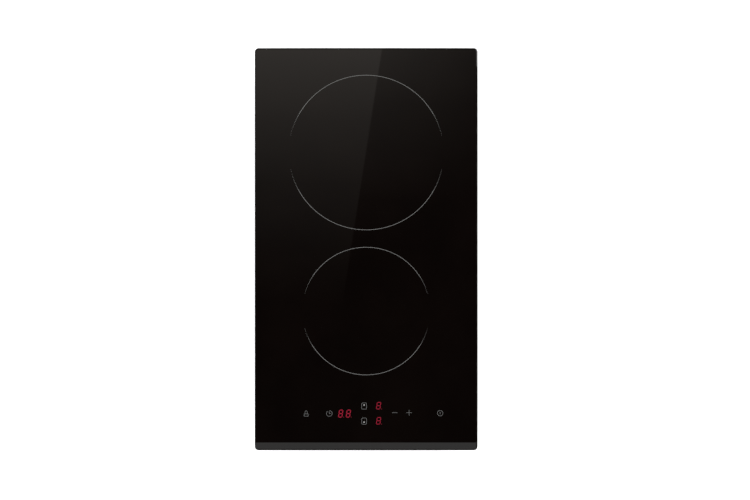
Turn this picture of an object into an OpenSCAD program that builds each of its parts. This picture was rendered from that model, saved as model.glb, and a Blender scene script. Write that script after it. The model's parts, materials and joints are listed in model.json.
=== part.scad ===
// Two-zone built-in induction hob, 30 cm "domino" format.
// Origin: centre of the footprint, on the plane under the four pressed feet. +Z is up,
// -Y is the front edge with the controls, +X is the right-hand side.

/* [Glass] */
// Width of the glass plate
glass_w = 288; // [280:1:360]
// Depth of the glass plate, front to back
glass_d = 520; // [510:1:640]
// Thickness of the glass plate
glass_t = 4; // [3:0.5:6]
// Radius of the plate's corners
glass_r = 5; // [3:0.5:12]
// Width of the ground facet along the front edge
facet_w = 10; // [6:1:16]
// How far the facet falls over its width
facet_drop = 0.6; // [0.3:0.1:0.8]
// Width of the fine chamfer round the top edge
edge_w = 1.6; // [0.6:0.1:2]
// Height of the fine chamfer round the top edge
edge_h = 1; // [0.5:0.1:1.4]
// Width of the steep bevel in front of the facet
front_bevel_w = 1.8; // [0.8:0.1:2.4]
// Height of the whole hob, feet to glass top
overall_h = 56; // [54:1:72]

/* [Worktop fit] */
// How far the glass laps over the worktop cut-out on each side
rim_lap = 10; // [8:0.5:14]
// Gap between the case and the cut-out at the sides
side_gap = 3; // [2:0.5:6]
// Gap between the case and the cut-out at the front and rear
end_gap = 5; // [3:0.5:8]
// Width of the foam seal under the rim
seal_w = 7; // [5:0.5:8]
// Thickness of the foam seal
seal_t = 1.5; // [1:0.5:3]

/* [Case] */
// Thickness of the case's sheet steel
sheet_t = 1; // [0.8:0.1:1.5]
// Height of the shoulder between the upper band and the tray
shoulder_z = 22; // [20:1:26]
// How far the tray steps in from the upper band
tray_step = 17; // [15:1:20]
// Corner radius of the upper band
band_r = 8; // [6:1:14]
// Corner radius of the tray
tray_r = 10; // [6:1:14]
// Height of the pressed feet
foot_h = 3; // [2:0.5:5]
// Radius of the pressed feet
foot_r = 12; // [8:1:16]
// Width of each ventilation slot
slot_w = 3.5; // [2.5:0.5:5]
// Width of the support frame's flange under the glass
flange_w = 12; // [8:1:14]
// Depth of the support frame's lip
lip_h = 12; // [10:1:16]
// Thread radius of the case screws
case_screw_r = 1.75; // [1.5:0.05:2.1]

/* [Zones and coils] */
// Radius of the rear zone ring
rear_ring_r = 100; // [85:1:110]
// Radius of the front zone ring
front_ring_r = 82.5; // [70:0.5:90]
// Distance of the rear zone's centre behind the hob's centre
rear_zone_y = 125; // [118:1:135]
// Distance of the front zone's centre in front of the hob's centre
front_zone_y = 80; // [70:1:84]
// Line width of the zone rings
ring_line = 0.5; // [0.4:0.1:1]
// Outer radius of the rear coil
rear_coil_r = 90; // [80:1:95]
// Outer radius of the front coil
front_coil_r = 80; // [70:1:84]
// Inner radius of both windings
coil_bore_r = 24; // [20:1:30]
// Radius of the litz wire
litz_r = 1.3; // [1:0.1:1.6]
// Air between neighbouring turns
litz_gap = 0.5; // [0.3:0.1:1]
// Thickness of the aluminium coil plate
plate_t = 1; // [0.8:0.1:2]
// Thickness of the mica sheet
mica_t = 0.5; // [0.3:0.1:1]
// Outer radius of the coil springs
spring_r = 4.5; // [4:0.1:6]
// Free movement of each coil, downwards
coil_travel = 3; // [2:0.5:3]
// Radius of the guide pins
guide_r = 2; // [1.5:0.1:2.5]
// Radial clearance of the plate on its guide pins
guide_gap = 0.4; // [0.3:0.1:1]

/* [Blower] */
// Rotor radius
rotor_r = 38; // [30:1:40]
// Number of rotor blades
blade_count = 30; // [18:1:36]
// Inside radius of the scroll
scroll_r = 47; // [44:1:50]
// Wall of the blower housing
blower_t = 2; // [1.5:0.5:3]
// Radius of the rotor shaft
shaft_r = 1.5; // [1:0.1:2]
// Running clearance of the shaft in the motor
shaft_gap = 0.05; // [0.02:0.01:0.1]
// Distance of the blower's centre behind the hob's centre
blower_y = 140; // [136:1:146]
// Distance of the blower's centre to the left
blower_x = 18; // [10:1:24]

/* [Power board] */
// Width of the board
board_w = 200; // [196:1:210]
// Length of the board
board_l = 224; // [222:1:230]
// Thickness of the board
board_t = 1.6; // [1:0.2:2.4]
// Height of the standoffs
standoff_h = 5; // [4:0.5:6]
// Width of the heatsink
sink_w = 60; // [50:1:64]
// Number of heatsink fins
fin_count = 11; // [7:1:15]

/* [Mains connection] */
// Distance of the terminal block to the right of the centre
term_x = 74; // [68:1:76]
// Bore radius of the cable inlet
inlet_r = 5; // [4:0.5:6]
// Radius of the cover's hinge pins
hinge_r = 1; // [0.8:0.1:1.2]
// Running clearance of the hinge pins
hinge_gap = 0.05; // [0.02:0.01:0.1]
// Width of the terminal cover's opening
hatch_w = 56; // [50:1:60]
// Length of the terminal cover's opening
hatch_l = 36; // [32:1:38]

/* [Worktop clamps] */
// Radius of the clamp screw's thread
clamp_r = 2.5; // [2:0.1:3]
// Reach of the clamp arm from its screw
arm_l = 34; // [28:1:40]
// Width of the clamp arm
arm_w = 13; // [10:1:14]
// Thickness of the clamp arm
arm_t = 2; // [1.5:0.1:3]
// Rise of the clamp when it is tightened
clamp_rise = 12; // [8:1:12]

/* [Controls] */
// Distance of the row of controls behind the front edge
control_setback = 48; // [46:1:60]
// Depth of the control carrier
carrier_d = 38; // [36:1:42]
// Width of the control carrier
carrier_w = 214; // [212:1:220]
// Height of the read-outs' digits
digit_h = 10.2; // [9:0.1:12]

/* [Hidden] */
$fn = 64;

// A sliver that lets one cut run past another
cut = 0.1;
// Thickness of the enamel print
print_t = 0.05;

// Levels, from the feet up
floor_z = foot_h;
inner_z = floor_z + sheet_t;
glass_z = overall_h - glass_t;
worktop_z = glass_z - seal_t;
band_top_z = glass_z - 1;
board_z = inner_z + standoff_h;
parts_z = board_z + board_t;
// Underside of the coil plate with the coil at rest against the glass
coil_z = glass_z - 14;
// Highest point that anything under the coils may reach
roof_z = coil_z - coil_travel - 2;

// Plan sizes of the case
band_w = glass_w - 2 * rim_lap - 2 * side_gap;
band_d = glass_d - 2 * rim_lap - 2 * end_gap;
tray_w = band_w - 2 * tray_step;
tray_d = band_d - 2 * tray_step;
frame_gap = 0.1;

// Coil plates and their three guide posts each
plate_margin = 2;
rear_post_r = rear_coil_r - 6;
front_post_r = front_coil_r - 6;
REAR_POSTS = [90, 210, 330];
FRONT_POSTS = [270, 30, 150];
former_t = 2.5;
ferrite_h = 5;
ferrite_w = 12;
winding_z = glass_z - mica_t - 2 * litz_r - 1.5;
former_z = winding_z - former_t;
ferrite_z = coil_z + plate_t;
post_r = 4;
post_top_z = coil_z - 12;
guide_top_z = coil_z + plate_t + 3;
spring_t = 1.2;

// Power board, its heatsink and their clearance from the blower
board_front_y = -148;
board_rear_y = board_front_y + board_l;
sink_rear_y = board_rear_y - 2;
sink_front_y = -62;
sink_base_t = 5;
fin_t = 1.8;
transistor_t = 5;

// Blower levels
blower_base_t = 2;
blower_z = inner_z + blower_base_t;
blower_top_z = roof_z;
rotor_z = blower_z + 2;
rotor_top_z = blower_top_z - blower_t - 2;
back_t = 2;
hub_r = 17;
hub_t = 2;
motor_r = 14;
outlet_y = board_rear_y + 9;
intake_r = 32;

// Terminal opening, cover and cable inlet
hatch_y = tray_d / 2 - 42;
hinge_y = hatch_y + 2.5;
hinge_z = floor_z - 0.4;
barrel_r = hinge_r + 0.6;
cover_t = 1.5;
cover_gap = 0.3;
ear_t = 3;
bush_z = (inner_z + shoulder_z) / 2;
bush_r = inlet_r + 2;
bush_flange_r = inlet_r + 3;

// Clamp stack: the arm hangs on its screw below the shoulder
clamp_y = tray_d / 2 + tray_step / 2;
clamp_head_h = 2;
clamp_head_r = clamp_r + 2;
collar_r = clamp_r + 1.2;
washer_r = collar_r + 1.8;
washer_t = 1;
clamp_gap = 0.3;
clamp_head_z = 0.8;
washer_z = clamp_head_z + clamp_head_h + clamp_gap;
collar_h = arm_t + clamp_gap;
arm_z = washer_z + washer_t + clamp_gap / 2;
// The arm's tip stays clear of the shoulder when the clamp is fully up
tip_gap = 0.75;
tip_h = shoulder_z - clamp_rise - tip_gap - arm_z;
nut_h = 5;
nut_r = clamp_r + 2.1;

// Controls: places of the touch symbols, left to right, from the hob's centre
control_y = control_setback - glass_d / 2;
control_line = 0.45;
carrier_y = control_y;
carrier_z = glass_z - 12;
carrier_t = 2;
touch_board_z = carrier_z + carrier_t;
lock_x = -77.6;
clock_x = -47.7;
timer_x = -27.6;
digit_pitch = 9.9;
zone_x = -2.7;
zone_step = 9.75;
level_x = 16.8;
minus_x = 37;
plus_x = 55.5;
power_x = 95.6;
ribbon_x = 42;
// How far the printed symbols sit off the middle of the row
left_drop = 0.4;
zone_drop = 0.5;
step_rise = 0.65;
TOUCH = [
    [lock_x, -left_drop], [clock_x, -left_drop],
    [zone_x, zone_step - zone_drop], [zone_x, -zone_step - zone_drop],
    [minus_x, step_rise], [plus_x, step_rise], [power_x, 0]
];

// ---------------------------------------------------------------- shared shapes

// Flat rectangle with round corners, centred
module round_rect(w, d, r) {
    square([w - 2 * r, d], center = true);
    square([w, d - 2 * r], center = true);
    for (x = [-1, 1], y = [-1, 1])
        translate([x * (w / 2 - r), y * (d / 2 - r)]) circle(r);
}

// Block from corner to corner
module block(low, high) {
    translate(low) cube(high - low);
}

// Upright plate with round corners between two levels
module slab(w, d, r, low, high) {
    translate([0, 0, low]) linear_extrude(high - low) round_rect(w, d, r);
}

module rod(r, low, high) {
    translate([0, 0, low]) cylinder(r = r, h = high - low);
}

module tube(r, bore, low, high) {
    difference() {
        rod(r, low, high);
        rod(bore, low - cut, high + cut);
    }
}

// Points of a smooth curve through a list of points
function curve_point(a, b, c, d, t) =
    0.5 * ((2 * b) + (c - a) * t + (2 * a - 5 * b + 4 * c - d) * t * t
           + (3 * b - a - 3 * c + d) * t * t * t);
function smooth(p, steps = 5) = concat([
    for (i = [0 : len(p) - 2], k = [0 : steps - 1])
        curve_point(p[max(i - 1, 0)], p[i], p[i + 1], p[min(i + 2, len(p) - 1)], k / steps)
], [p[len(p) - 1]]);

function unit(v) = v / norm(v);
function tangent(p, i) = unit(p[min(i + 1, len(p) - 1)] - p[max(i - 1, 0)]);
function square_to(n, t) = unit(n - (n * t) * t);
function sides(p, i, n) =
    i >= len(p) ? [] : let (s = square_to(n, tangent(p, i))) concat([s], sides(p, i + 1, s));

// Round wire swept along a list of points
module wire(points, r, n = 8) {
    p = smooth(points);
    first = tangent(p, 0);
    seed = abs(first.z) < 0.8 ? [0, 0, 1] : [1, 0, 0];
    side = sides(p, 0, seed);
    ring = [
        for (i = [0 : len(p) - 1], k = [0 : n - 1])
            p[i] + r * cos(360 * k / n) * side[i]
                 + r * sin(360 * k / n) * cross(tangent(p, i), side[i])
    ];
    walls = [
        for (i = [0 : len(p) - 2], k = [0 : n - 1])
            [i * n + k, (i + 1) * n + k, (i + 1) * n + (k + 1) % n, i * n + (k + 1) % n]
    ];
    start_cap = [for (k = [0 : n - 1]) k];
    end_cap = [for (k = [n - 1 : -1 : 0]) (len(p) - 1) * n + k];
    polyhedron(ring, concat(walls, [start_cap], [end_cap]), convexity = 4);
}

// Pan-head screw along +Z with its head's seat at the origin
module pan_screw(r, length) {
    difference() {
        union() {
            translate([0, 0, -length]) cylinder(r = r, h = length);
            cylinder(r = 2 * r, h = 1.1 * r);
        }
        for (a = [0, 90])
            rotate(a) translate([-1.2 * r, -0.2 * r, 0.6 * r]) cube([2.4 * r, 0.4 * r, r]);
    }
}

// ---------------------------------------------------------------- glass and print

// Bar with both top edges chamfered, centred, along +Y
module chamfered_bar(w, length, drop) {
    rotate([90, 0, 0])
        linear_extrude(length, center = true)
            polygon([
                [-w / 2, -drop], [w / 2, -drop], [w / 2, -edge_h],
                [w / 2 - edge_w, 0], [-w / 2 + edge_w, 0], [-w / 2, -edge_h]
            ]);
}

module glass_top() {
    color([0.02, 0.02, 0.02])
        difference() {
            translate([0, 0, overall_h])
                union() {
                    chamfered_bar(glass_w, glass_d - 2 * glass_r, glass_t);
                    rotate(90) chamfered_bar(glass_d, glass_w - 2 * glass_r, glass_t);
                    for (x = [-1, 1], y = [-1, 1])
                        translate([x * (glass_w / 2 - glass_r), y * (glass_d / 2 - glass_r), 0]) {
                            translate([0, 0, -glass_t]) cylinder(r = glass_r, h = glass_t - edge_h);
                            translate([0, 0, -edge_h])
                                cylinder(r1 = glass_r, r2 = glass_r - edge_w, h = edge_h);
                        }
                }
            front_grind(facet_w, 0, facet_drop / facet_w);
            front_grind(front_bevel_w, (facet_w - front_bevel_w) * facet_drop / facet_w, edge_h / edge_w);
        }
}

// What is ground off the front edge: it starts at w behind the edge, low below the top
module front_grind(w, low, slope) {
    translate([0, w - glass_d / 2, overall_h - low])
        rotate([atan(slope), 0, 0])
            translate([-glass_w, -2 * facet_w, 0]) cube([2 * glass_w, 2 * facet_w, glass_t]);
}

// Points along an arc about the origin, at most two degrees apart
function arc(r, from, to) =
    let (steps = ceil(abs(to - from) / 2))
    [for (i = [0 : steps]) let (a = from + (to - from) * i / steps) [r * cos(a), r * sin(a)]];

// Printed line along an arc
module arc_print(r, line, from, to) {
    linear_extrude(print_t)
        polygon(concat(arc(r + line / 2, from, to), arc(r - line / 2, to, from)));
}

// One zone ring: two arcs whose ends break up into shorter and shorter dashes
module zone_ring(r, gap) {
    dashes = 14;
    pitch = 1.2;
    solid = 90 - gap - dashes * pitch;
    for (turn = [0, 180]) {
        arc_print(r, ring_line, turn + 90 - solid, turn + 90 + solid);
        for (i = [0 : dashes - 1], s = [-1, 1]) {
            middle = turn + 90 + s * (solid + (i + 0.6) * pitch);
            half = pitch * (0.06 + 0.27 * pow(1 - i / dashes, 2));
            arc_print(r, ring_line, middle - half, middle + half);
        }
    }
}

module zone_print() {
    color([0.75, 0.75, 0.73]) {
        translate([0, rear_zone_y, overall_h]) zone_ring(rear_ring_r, 12.5);
        translate([0, -front_zone_y, overall_h]) zone_ring(front_ring_r, 15.5);
    }
}

module icon_ring(r) {
    linear_extrude(print_t)
        difference() {
            circle(r);
            circle(r - control_line);
        }
}

module icon_bar(w, d) {
    translate([-w / 2, -d / 2, 0]) cube([w, d, print_t]);
}

// Outlined box with round corners
module icon_box(w, d, r) {
    linear_extrude(print_t)
        difference() {
            round_rect(w, d, r);
            round_rect(w - 2 * control_line, d - 2 * control_line, r - control_line);
        }
}

// Padlock: box and shackle
module lock_icon() {
    shackle_r = 1.5;
    translate([0, -2, 0]) icon_box(5.7, 3.5, 0.6);
    translate([0, 1.9, 0]) arc_print(shackle_r, control_line, 0, 180);
    for (s = [-1, 1]) translate([s * shackle_r, 0.8, 0]) icon_bar(control_line, 2.25);
}

// Clock: dial open at the top, and two hands
module clock_icon() {
    arc_print(3.7, control_line, 125, 440);
    translate([0, 1.6, 0]) icon_bar(control_line, 3.6);
    translate([0.9, 0, 0]) icon_bar(2.2, control_line);
}

// Hob outline with a dot for the zone it selects
module zone_icon(dot_side) {
    icon_box(6.8, 8.5, 1.6);
    translate([0, dot_side * 1.35, 0]) cylinder(r = 0.8, h = print_t, $fn = 24);
}

module power_icon() {
    icon_ring(3.75);
    icon_bar(control_line, 3.2);
}

module control_print() {
    color([0.6, 0.6, 0.6])
        translate([0, control_y, overall_h]) {
            translate(TOUCH[0]) lock_icon();
            translate(TOUCH[1]) clock_icon();
            translate(TOUCH[2]) zone_icon(1);
            translate(TOUCH[3]) zone_icon(-1);
            translate(TOUCH[4]) icon_bar(6.8, control_line);
            translate(TOUCH[5]) {
                icon_bar(7.4, control_line);
                icon_bar(control_line, 7.4);
            }
            translate(TOUCH[6]) power_icon();
        }
}

// ---------------------------------------------------------------- shell

module worktop_seal() {
    color([0.1, 0.1, 0.1])
        difference() {
            slab(glass_w - 3, glass_d - 3, glass_r, worktop_z, glass_z);
            slab(glass_w - 3 - 2 * seal_w, glass_d - 3 - 2 * seal_w, 2, worktop_z - cut, glass_z + cut);
        }
}

// Places of the case screws: side walls, then end walls
module at_case_screws() {
    z = glass_z - lip_h / 2;
    for (s = [-1, 1], y = [-0.38, -0.13, 0.13, 0.38])
        translate([s * band_w / 2, y * band_d, z]) rotate([0, s * 90, 0]) children();
    for (s = [-1, 1], x = [-0.32, 0.32])
        translate([x * band_w, s * band_d / 2, z]) rotate([-s * 90, 0, 0]) children();
}

module support_frame() {
    w = band_w - 2 * sheet_t - 2 * frame_gap;
    d = band_d - 2 * sheet_t - 2 * frame_gap;
    color([0.7, 0.71, 0.72])
        difference() {
            slab(w, d, band_r - sheet_t, glass_z - lip_h, glass_z);
            slab(w - 2 * sheet_t, d - 2 * sheet_t, band_r - 2 * sheet_t,
                 glass_z - lip_h - cut, glass_z - sheet_t);
            slab(w - 2 * flange_w, d - 2 * flange_w, 4, glass_z - 2 * sheet_t, glass_z + cut);
            at_case_screws() translate([0, 0, -8]) cylinder(r = case_screw_r + 0.05, h = 8);
        }
}

module case_screws() {
    color([0.8, 0.8, 0.8]) at_case_screws() pan_screw(case_screw_r, 6);
}

// Rows of ventilation slots, as cutters
module slot_row(count, pitch, length, depth) {
    for (i = [0 : count - 1])
        translate([(i - (count - 1) / 2) * pitch, 0, 0])
            cube([slot_w, length, depth], center = true);
}

module at_feet() {
    for (x = [-1, 1], y = [-1, 1])
        translate([x * (tray_w / 2 - 2 * foot_r), y * (tray_d / 2 - 6 * foot_r), 0]) children();
}

module hinge_ears() {
    for (x = [term_x - hatch_w / 2 - ear_t, term_x + hatch_w / 2])
        block([x, hatch_y - 1.5, 0.8], [x + ear_t, hatch_y + 5.5, inner_z + 2.5]);
}

module bottom_case() {
    exhaust_pitch = slot_w + 4;
    color([0.72, 0.73, 0.74])
        difference() {
            union() {
                difference() {
                    union() {
                        slab(band_w, band_d, band_r, shoulder_z, band_top_z);
                        slab(tray_w, tray_d, tray_r, floor_z, shoulder_z + sheet_t);
                        at_feet() cylinder(r = foot_r, h = floor_z + cut);
                    }
                    slab(band_w - 2 * sheet_t, band_d - 2 * sheet_t, band_r - sheet_t,
                         shoulder_z + sheet_t, glass_z);
                    slab(tray_w - 2 * sheet_t, tray_d - 2 * sheet_t, tray_r - sheet_t,
                         inner_z, shoulder_z + 2 * sheet_t);
                    at_feet() translate([0, 0, sheet_t]) cylinder(r = foot_r - sheet_t, h = inner_z);
                }
                hinge_ears();
                // Threaded bosses for the clamp screws
                for (s = [-1, 1])
                    translate([0, s * clamp_y, 0]) rod(nut_r, shoulder_z, shoulder_z + nut_h);
            }
            for (s = [-1, 1])
                translate([0, s * clamp_y, 0])
                    rod(clamp_r + 0.4, shoulder_z - cut, shoulder_z + nut_h + cut);
            at_case_screws() translate([0, 0, -sheet_t - cut]) cylinder(r = case_screw_r + 0.35, h = 2);
            // Air intake under the blower
            for (row = [-2 : 2])
                translate([-blower_x, blower_y + row * 13, inner_z])
                    slot_row(row == 0 ? 9 : abs(row) == 1 ? 8 : 6, 7, 10, 4 * sheet_t);
            // Air outlet through the front shoulder, behind the control carrier
            for (s = [-1, 1])
                translate([s * 66, -tray_d / 2, (inner_z + shoulder_z) / 2])
                    slot_row(12, exhaust_pitch, 4 * sheet_t, 9);
            // Air outlet through both sides
            for (s = [-1, 1])
                translate([s * tray_w / 2, -120, (inner_z + shoulder_z) / 2])
                    rotate(90) slot_row(10, exhaust_pitch, 4 * sheet_t, 9);
            // Opening to the terminals, and the cover's hinge holes
            block([term_x - hatch_w / 2, hatch_y, 0],
                  [term_x + hatch_w / 2, hatch_y + hatch_l, inner_z + 1]);
            translate([term_x - hatch_w / 2 - ear_t - cut, hinge_y, hinge_z])
                rotate([0, 90, 0]) cylinder(r = hinge_r + hinge_gap, h = hatch_w + 2 * ear_t + 2 * cut);
            // Cable inlet
            translate([term_x, tray_d / 2 - 2 * sheet_t, bush_z])
                rotate([-90, 0, 0]) cylinder(r = bush_r + 0.1, h = 4 * sheet_t);
        }
}

// ---------------------------------------------------------------- blower

// Scroll with its outlet duct, which starts at left and runs forward to front
module scroll_outline(r, left, front) {
    circle(r);
    translate([left, front]) square([r - 1 - left, -front]);
}

module scroll_outside() {
    scroll_outline(scroll_r + blower_t, 0, outlet_y - blower_y);
}

module at_blower() {
    translate([-blower_x, blower_y, 0]) children();
}

module at_blower_screws() {
    for (a = [40, 130, 220])
        rotate(a) translate([scroll_r + blower_t + 3.5, 0, 0]) children();
}

module blower_housing() {
    color([0.16, 0.16, 0.17])
        at_blower()
            difference() {
                union() {
                    translate([0, 0, blower_z])
                        linear_extrude(blower_top_z - blower_z) scroll_outside();
                    at_blower_screws() rod(4.5, blower_z, blower_z + 4);
                }
                translate([0, 0, blower_z - cut])
                    linear_extrude(blower_top_z - blower_t - blower_z + cut)
                        scroll_outline(scroll_r, blower_t, outlet_y - blower_y - cut);
                at_blower_screws() rod(1.6, blower_z - cut, blower_z + 4 + cut);
            }
}

module blower_base() {
    color([0.18, 0.18, 0.19])
        at_blower()
            difference() {
                union() {
                    translate([0, 0, inner_z]) linear_extrude(blower_base_t) scroll_outside();
                    at_blower_screws() rod(4.5, inner_z, blower_z);
                }
                rod(intake_r, inner_z - cut, blower_z + cut);
                at_blower_screws() rod(1.6, inner_z - cut, blower_z + cut);
            }
}

module fan_motor() {
    low = rotor_z + hub_t + 5;
    color([0.25, 0.22, 0.18])
        at_blower()
            difference() {
                union() {
                    rod(motor_r, low, rotor_top_z - 2);
                    rod(6, rotor_top_z - 2 - cut, blower_top_z - blower_t);
                }
                rod(shaft_r + shaft_gap, low - cut, rotor_top_z - 1);
            }
}

module fan_rotor() {
    cup_z = rotor_z + 1;
    blade_l = 9;
    color([0.08, 0.08, 0.09])
        at_blower()
            union() {
                tube(hub_r, hub_r - hub_t, cup_z, rotor_top_z);
                rod(hub_r, cup_z, cup_z + hub_t);
                rod(shaft_r, cup_z + hub_t - cut, rotor_top_z - 3);
                tube(rotor_r, hub_r - cut, rotor_top_z - back_t, rotor_top_z);
                tube(rotor_r, rotor_r - 3, rotor_z, rotor_z + 1.5);
                for (i = [0 : blade_count - 1])
                    rotate(i * 360 / blade_count)
                        translate([rotor_r - 4.5, 0, rotor_z + 0.75])
                            rotate(40)
                                translate([-blade_l / 2, -0.4, 0])
                                    cube([blade_l, 0.8, rotor_top_z - rotor_z - 1.25]);
            }
}

// ---------------------------------------------------------------- power board

BOARD_HOLES = [
    [-94, board_front_y + 6], [94, board_front_y + 6], [-94, board_rear_y - 6],
    [94, board_rear_y - 6], [-94, -36], [94, -36]
];

module at_rear_posts() {
    for (a = REAR_POSTS)
        translate([rear_post_r * cos(a), rear_zone_y + rear_post_r * sin(a), 0]) children();
}

module at_front_posts() {
    for (a = FRONT_POSTS)
        translate([front_post_r * cos(a), -front_zone_y + front_post_r * sin(a), 0]) children();
}

module power_board() {
    color([0.1, 0.35, 0.2])
        difference() {
            block([-board_w / 2, board_front_y, board_z], [board_w / 2, board_rear_y, parts_z]);
            for (p = BOARD_HOLES) translate([p.x, p.y, 0]) rod(1.7, board_z - cut, parts_z + cut);
            at_front_posts() rod(post_r + 2, board_z - cut, parts_z + cut);
        }
}

module board_standoffs() {
    color([0.85, 0.85, 0.8])
        for (p = BOARD_HOLES) translate([p.x, p.y, 0]) tube(3.2, 1.35, inner_z, board_z);
}

module inner_screws() {
    color([0.8, 0.8, 0.8]) {
        for (p = BOARD_HOLES) translate([p.x, p.y, parts_z]) pan_screw(1.3, board_t + standoff_h - 1);
        at_blower() at_blower_screws() translate([0, 0, blower_z + 4]) pan_screw(1.5, 5.5);
    }
}

module heatsink() {
    pitch = (sink_w - fin_t) / (fin_count - 1);
    color([0.75, 0.76, 0.78]) {
        union() {
            block([-sink_w / 2, sink_front_y, parts_z], [sink_w / 2, sink_rear_y, parts_z + sink_base_t]);
            for (i = [0 : fin_count - 1])
                translate([i * pitch - sink_w / 2, sink_front_y, parts_z + sink_base_t - cut])
                    cube([fin_t, sink_rear_y - sink_front_y, roof_z - 1 - parts_z - sink_base_t]);
        }
    }
}

// Flat power package lying against the heatsink's flank, legs down into the board
module power_package(w, h, legs) {
    block([0, -w / 2, parts_z + 3], [transistor_t, w / 2, parts_z + 3 + h]);
    for (i = [0 : legs - 1])
        translate([transistor_t / 2 - 0.4, (i - (legs - 1) / 2) * w / 3.2 - 0.6, parts_z])
            cube([0.8, 1.2, 3 + cut]);
}

module power_transistors() {
    color([0.06, 0.06, 0.06])
        for (y = [-46, 52])
            for (s = [0, 1])
                translate([0, y, 0]) mirror([s, 0, 0])
                    translate([sink_w / 2, 0, 0]) power_package(15.5, 18, 3);
}

module bridge_rectifier() {
    color([0.07, 0.07, 0.07])
        translate([-sink_w / 2, 4, 0]) mirror([1, 0, 0]) power_package(28, 18, 4);
}

module film_box(x, y, w, d, h) {
    translate([x - w / 2, y - d / 2, parts_z]) cube([w, d, h]);
}

module film_capacitors() {
    color([0.1, 0.25, 0.6])
        for (s = [-1, 1]) {
            film_box(s * 60, 60, 30, 18, 20);
            film_box(s * 60, 37, 30, 18, 18);
            film_box(s * 60, 4, 30, 28, 21);
        }
    color([0.85, 0.75, 0.2])
        for (y = [10, 30]) film_box(89, y, 14, 17, 18);
}

module bulk_capacitors() {
    color([0.1, 0.1, 0.12])
        for (p = [[30, -84, 8, 20], [48, -84, 8, 20], [20, -104, 5, 14], [34, -104, 5, 14]])
            translate([p.x, p.y, 0]) rod(p[2], parts_z, parts_z + p[3]);
}

module filter_choke() {
    color([0.7, 0.35, 0.12])
        translate([-70, -92, parts_z + 7])
            rotate_extrude() translate([12, 0]) circle(5.5);
    color([0.1, 0.1, 0.1])
        translate([-70, -92, 0]) rod(9, parts_z, parts_z + 2.5);
}

module supply_transformer() {
    color([0.9, 0.8, 0.3])
        union() {
            block([-24, -112, parts_z], [-2, -84, parts_z + 3]);
            block([-21, -108, parts_z + 3 - cut], [-5, -88, parts_z + 17]);
            block([-24, -102, parts_z + 3 - cut], [-2, -94, parts_z + 20]);
        }
}

module board_fuse() {
    color([0.9, 0.9, 0.85])
        translate([80, -112, parts_z + 4])
            rotate([90, 0, 0]) {
                cylinder(r = 2.6, h = 20, center = true);
                for (s = [-1, 1]) translate([0, 0, s * 8]) cylinder(r = 3.2, h = 4, center = true);
            }
    color([0.7, 0.7, 0.7])
        for (s = [-1, 1]) block([78, -113.5 + s * 8, parts_z], [82, -110.5 + s * 8, parts_z + 1.6]);
}

// Shrouded connector, open at the top
module header(x, y, w, d) {
    h = 9;
    translate([x, y, 0])
        difference() {
            block([-w / 2, -d / 2, parts_z], [w / 2, d / 2, parts_z + h]);
            block([-w / 2 + 1, -d / 2 + 1, parts_z + 2], [w / 2 - 1, d / 2 - 1, parts_z + h + cut]);
        }
}

module board_headers() {
    color([0.92, 0.92, 0.9]) {
        header(66, 68 - 140, 20, 8);
        header(-40, -70, 10, 8);
        header(-88, 62, 10, 8);
        header(ribbon_x, -138, 34, 8);
    }
}

REAR_TERMINALS = [[-90, 12], [-90, -8]];
FRONT_TERMINALS = [[90, -58], [94, -76]];

module coil_terminals() {
    color([0.8, 0.65, 0.3])
        for (p = concat(REAR_TERMINALS, FRONT_TERMINALS))
            translate([p.x, p.y, 0])
                difference() {
                    rod(3.5, parts_z, parts_z + 6);
                    rod(1.6, parts_z + 2, parts_z + 6 + cut);
                }
}

// ---------------------------------------------------------------- mains connection

BLOCK_POLES = 5;
pole_pitch = 10.2;
block_y = hatch_y + 19;
block_top_z = inner_z + 20;
terminal_z = inner_z + 13;

module terminal_block() {
    body_w = BLOCK_POLES * pole_pitch + 3;
    color([0.9, 0.9, 0.86])
        difference() {
            union() {
                block([term_x - body_w / 2, block_y - 9, inner_z + 1.2],
                      [term_x + body_w / 2, block_y + 9, block_top_z]);
                block([term_x - hatch_w / 2 - 5, block_y - 5, inner_z],
                      [term_x + hatch_w / 2 + 5, block_y + 5, inner_z + 3]);
            }
            for (i = [0 : BLOCK_POLES - 1])
                translate([term_x + (i - (BLOCK_POLES - 1) / 2) * pole_pitch, block_y, 0]) {
                    // Screw access from below, wire entries front and rear
                    rod(2.6, inner_z - cut, inner_z + 8);
                    translate([0, 0, terminal_z])
                        rotate([90, 0, 0]) cylinder(r = 2.8, h = 30, center = true);
                }
            for (s = [-1, 1])
                translate([term_x + s * (hatch_w / 2 + 2.6), block_y, 0])
                    rod(1.5, inner_z - cut, inner_z + 4);
        }
}

module terminal_cover() {
    rim = 2;
    plate_z = floor_z - cover_gap - cover_t;
    end_x = hatch_w / 2 - cover_gap;
    color([0.14, 0.14, 0.14])
        translate([term_x, 0, 0])
            union() {
                translate([-end_x, hinge_y, hinge_z])
                    rotate([0, 90, 0]) cylinder(r = barrel_r, h = 2 * end_x);
                translate([-end_x - ear_t + 0.5, hinge_y, hinge_z])
                    rotate([0, 90, 0]) cylinder(r = hinge_r, h = 2 * (end_x + ear_t - 0.5));
                block([-end_x, hinge_y, plate_z], [end_x, hatch_y + 8, plate_z + cover_t]);
                block([-hatch_w / 2 - rim, hatch_y + 7, plate_z],
                      [hatch_w / 2 + rim, hatch_y + hatch_l + rim, plate_z + cover_t]);
                // Latch tongue behind the opening's rear edge
                block([-8, hatch_y + hatch_l - 2, plate_z + cover_t - cut],
                      [8, hatch_y + hatch_l - 0.8, floor_z + sheet_t + 1]);
            }
}

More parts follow.
